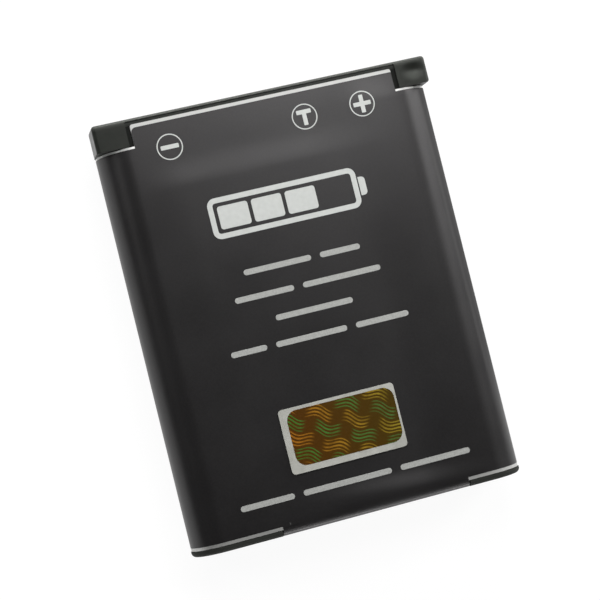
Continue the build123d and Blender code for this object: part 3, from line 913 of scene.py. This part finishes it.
# %% Sink mark, its painted highlight and grain
SINK_PLACE = (14.4 * MM, cad_high.y - 1.23 * MM, cad_high.z)
SINK_RADIUS, SINK_DEPTH = 0.95 * MM, 0.16 * MM
SINK_SQUASH = (0.7, 1, 1)  # it is wider than it is high
SINK_HIGHLIGHT_PLACE = (14.35 * MM, cad_high.y - 1.58 * MM, cad_high.z)
SINK_HIGHLIGHT_RADIUS = 0.7 * MM
# painted highlight below the sink mark
SINK_PAINTED_HIGHLIGHT = (0.042, 0.045, 0.040)
CAP_GRAIN, CAP_GRAIN_DEPTH = 0.09 * MM, 0.005 * MM
CAP_SATIN = 0.47
RUBBED_GLOSS, SIDE_GLOSS = 0.1, 0.08  # how much smoother than that
POCKET_DULL, RIM_DULL = 0.9, 0.75

# the pale spot below the sink mark is a painted highlight
skin = blend(cap_black, spot(cap_black, SINK_HIGHLIGHT_PLACE, SINK_HIGHLIGHT_RADIUS, SINK_SQUASH), skin, SINK_PAINTED_HIGHLIGHT)
# the pale front edge is partly wear and partly a painted highlight
skin = blend(cap_black, edge, skin, EDGE_WEAR_AND_HIGHLIGHT)
# the rim's lighter grey is painted light
skin = blend(cap_black, rim, skin, RIM_PAINTED_LIGHT)
# the pocket's near-black colour is painted shade
feed(cap_black, shader.inputs["Base Color"], blend(cap_black, pocket, skin, POCKET_PAINTED_SHADE))
sheen = math_node(cap_black, "MULTIPLY_ADD", rubbed, -RUBBED_GLOSS, CAP_SATIN)
sheen = math_node(cap_black, "MULTIPLY_ADD", side, -SIDE_GLOSS, sheen)
sheen = math_node(cap_black, "MAXIMUM", sheen, math_node(cap_black, "MULTIPLY", pocket, POCKET_DULL))
sheen = math_node(cap_black, "MAXIMUM", sheen, math_node(cap_black, "MULTIPLY", rim, RIM_DULL))
feed(cap_black, shader.inputs["Roughness"], sheen)
around_sink = math_node(cap_black, "SUBTRACT", 1, spot(cap_black, SINK_PLACE, SINK_RADIUS, SINK_SQUASH))
add_bump(cap_black, shader, around_sink, SINK_DEPTH)
add_bump(cap_black, shader, noise(cap_black, CAP_GRAIN, detail=4), CAP_GRAIN_DEPTH)
tell(cap_black)

# %% [markdown]
# ## The parts inside
#
# The contacts show through windows in the cap, and the rest is sealed in. Their solids stay as they are,
# and each gets the finish of its real material: drawn and rolled metals have a grain stretched along the
# way they were worked, and the sheet, board, mouldings and tape have a grain of their own size.

# %% Metals
METAL_BUMP = 0.002 * MM

can_metal = grainy_finish("can_metal", dark=(0.62, 0.63, 0.64), light=(0.76, 0.77, 0.78), grain=0.3 * MM,
                          roughness=(0.28, 0.42), bump=METAL_BUMP, metallic=1.0, stretch=(1, 0.05, 1))
nickel = grainy_finish("nickel", dark=(0.56, 0.54, 0.50), light=(0.70, 0.67, 0.62), grain=0.12 * MM,
                       roughness=(0.25, 0.4), bump=METAL_BUMP, metallic=1.0, stretch=(1, 0.1, 1))
gold_plate = grainy_finish("gold_plate", dark=(0.80, 0.56, 0.20), light=(0.92, 0.70, 0.32), grain=0.1 * MM,
                           roughness=(0.18, 0.34), bump=METAL_BUMP, metallic=1.0, stretch=(1, 1, 0.12))

# %% Plastics, board and tape
gasket_grey = grainy_finish("gasket_grey", dark=(0.70, 0.70, 0.67), light=(0.80, 0.80, 0.77),
                            grain=0.2 * MM, roughness=(0.4, 0.55), bump=0.003 * MM)
fibre_tan = grainy_finish("fibre_tan", dark=(0.50, 0.45, 0.33), light=(0.72, 0.67, 0.54),
                          grain=0.1 * MM, roughness=(0.7, 0.9), bump=0.01 * MM, stretch=(0.3, 1, 1))
board_green = grainy_finish("board_green", dark=(0.02, 0.11, 0.045), light=(0.03, 0.16, 0.06),
                            grain=0.25 * MM, roughness=(0.3, 0.45), bump=0.004 * MM)
epoxy_black = grainy_finish("epoxy_black", dark=(0.018, 0.018, 0.019), light=(0.032, 0.032, 0.033),
                            grain=0.05 * MM, roughness=(0.5, 0.7), bump=0.004 * MM)
ceramic_buff = grainy_finish("ceramic_buff", dark=(0.30, 0.25, 0.19), light=(0.46, 0.40, 0.32),
                             grain=0.15 * MM, roughness=(0.45, 0.6), bump=0.003 * MM)
tape_foam = grainy_finish("tape_foam", dark=(0.74, 0.74, 0.72), light=(0.86, 0.86, 0.83),
                          grain=0.06 * MM, roughness=(0.75, 0.95), bump=0.01 * MM)

# %% Finishes on the solids
FINISH_OF_SLOT = {
    "cap_plastic": cap_black,
    "label_film": label_black,
    "sticker_foil": foil,
    "can_aluminium": can_metal,
    "nickel": nickel,
    "contact_gold": gold_plate,
    "gasket_plastic": gasket_grey,
    "fibre_sheet": fibre_tan,
    "board_laminate": board_green,
    "chip_mould": epoxy_black,
    "chip_ceramic": ceramic_buff,
    "tape_white": tape_foam,
}
for part in frame["record"]["subparts"]:
    solid = frame["nodes"][part["node"]]
    solid.data.materials.clear()
    solid.data.materials.append(FINISH_OF_SLOT[part["material_slot"]])

# %% [markdown]
# ## Floor
#
# The pack lies on a white table. More light would bleach the floor, but the pack with it, so the floor
# glows instead wherever the camera or a reflection looks at it. To every other ray it is plain white
# paper. It keeps a little of its own shading, which holds the pack's soft shadow.

# %% White table
FLOOR_SIZE = 4.0
FLOOR_GLOW = 0.94
FLOOR_ROUGHNESS = 0.9
FLOOR_WHITE, FLOOR_UNDER_GLOW = (0.85, 0.85, 0.85), (0.1, 0.1, 0.1)

bpy.ops.mesh.primitive_plane_add(size=FLOOR_SIZE, location=(0, 0, cad_low.z))
floor = bpy.context.object
floor.name = "floor"
floor_white, shader = new_finish("floor_white")
shader.inputs["Roughness"].default_value = FLOOR_ROUGHNESS
shader.inputs["Specular IOR Level"].default_value = 0.0
shader.inputs["Emission Color"].default_value = (1, 1, 1, 1)
rays = node(floor_white, "ShaderNodeLightPath").outputs
seen = math_node(floor_white, "MAXIMUM", rays["Is Camera Ray"], rays["Is Glossy Ray"])
seen = math_node(floor_white, "MAXIMUM", seen, rays["Is Transmission Ray"])
glow = math_node(floor_white, "MULTIPLY", seen, FLOOR_GLOW)
feed(floor_white, shader.inputs["Emission Strength"], glow)
feed(floor_white, shader.inputs["Base Color"], blend(floor_white, seen, FLOOR_WHITE, FLOOR_UNDER_GLOW))
floor.data.materials.append(floor_white)
tell(floor_white)

# %% [markdown]
# ## Light
#
# On a black, satin thing the picture is mostly reflections of lamps. Two small softboxes near the contact
# end give the front its bright end, three on the right-hand side light the round edge there, and one far
# on the left lifts the other. Cards beyond the two ends light the cap's edge and the fold. One big dome
# of light would be simpler, but it would leave the front an even grey. A lamp's strength is given as the
# brightness of its face, so that it can change size without a change of glare.

# %% Softboxes and cards
WORLD_LIGHT = 0.02

world = bpy.data.worlds.new("studio")
bpy.context.scene.world = world
world.use_nodes = True
backdrop = world.node_tree.nodes["Background"]
backdrop.inputs["Color"].default_value = (1, 1, 1, 1)
backdrop.inputs["Strength"].default_value = WORLD_LIGHT


def add_softbox(name, azimuth, elevation, distance, width, height, radiance):
    """Oblong lamp that faces the pack. Angles in degrees, lengths in millimetres."""
    around, lift = math.radians(azimuth), math.radians(elevation)
    way = Vector((math.cos(lift) * math.cos(around), math.cos(lift) * math.sin(around), math.sin(lift)))
    bpy.ops.object.light_add(type="AREA", location=way * distance * MM)
    lamp = bpy.context.object
    lamp.name = name
    lamp.rotation_euler = (-way).to_track_quat("-Z", "Y").to_euler()
    lamp.data.shape = "RECTANGLE"
    lamp.data.size = width * MM
    lamp.data.size_y = height * MM
    lamp.data.energy = radiance * math.pi * width * height * MM * MM
    lamp.visible_camera = False
    print(name, "gives", round(lamp.data.energy, 3), "W")


add_softbox("end_softbox", azimuth=77, elevation=57, distance=84, width=40, height=16, radiance=7.6)
add_softbox("near_softbox", azimuth=54, elevation=64, distance=100, width=40, height=16, radiance=3.2)
add_softbox("low_side_softbox", azimuth=25, elevation=8, distance=400, width=100, height=100, radiance=18)
add_softbox("side_softbox", azimuth=20, elevation=26, distance=400, width=130, height=240, radiance=4.8)
add_softbox("high_side_softbox", azimuth=25, elevation=44, distance=400, width=100, height=100,
            radiance=8.8)
add_softbox("far_softbox", azimuth=150, elevation=32, distance=400, width=120, height=120, radiance=5.2)
add_softbox("back_card", azimuth=90, elevation=25, distance=300, width=200, height=60, radiance=22.5)
add_softbox("foot_card", azimuth=270, elevation=10, distance=300, width=250, height=100, radiance=6.5)

# %% [markdown]
# ## Camera
#
# The camera looks almost straight down on the pack, turned so that the pack lies aslant in a square
# picture. Dragging the camera about until it fits is slow, so its place is worked out: a direction from
# the front's middle, a distance and a roll. A small shift puts the front's middle where it falls in the
# picture.

# %% Camera over the front
TURN = math.radians(11.72)  # the camera stands towards -X by this much
LEAN_BACK = math.radians(1.67)  # and towards -Y by this much
ROLL = math.radians(-13.97)
DISTANCE = 161.8 * MM
FOCAL_PIXELS = 1793.3
IMAGE_PIXELS = 600
SEEN_CENTRE = (312.87, 301.59)  # where the middle of the front falls in the picture
SENSOR = 36

front_middle = Vector((0, 0, cad_high.z))
back = Vector((-math.sin(TURN) * math.cos(LEAN_BACK),
               -math.sin(LEAN_BACK),
               math.cos(TURN) * math.cos(LEAN_BACK)))
level_right = (-back).cross(UP).normalized()
level_up = level_right.cross(-back)
right = math.cos(ROLL) * level_right + math.sin(ROLL) * level_up
up = math.cos(ROLL) * level_up - math.sin(ROLL) * level_right

bpy.ops.object.camera_add(location=front_middle + back * DISTANCE)
camera = bpy.context.object
camera.rotation_euler = Matrix((right, up, back)).transposed().to_euler()
camera.data.sensor_width = SENSOR
camera.data.lens = FOCAL_PIXELS / IMAGE_PIXELS * SENSOR
camera.data.shift_x = -(SEEN_CENTRE[0] - IMAGE_PIXELS / 2) / IMAGE_PIXELS
camera.data.shift_y = (SEEN_CENTRE[1] - IMAGE_PIXELS / 2) / IMAGE_PIXELS
camera.data.clip_start = 10 * MM
bpy.context.scene.camera = camera
bpy.context.scene.view_settings.view_transform = "Standard"
print("camera in mm:", [round(v / MM, 1) for v in camera.location])
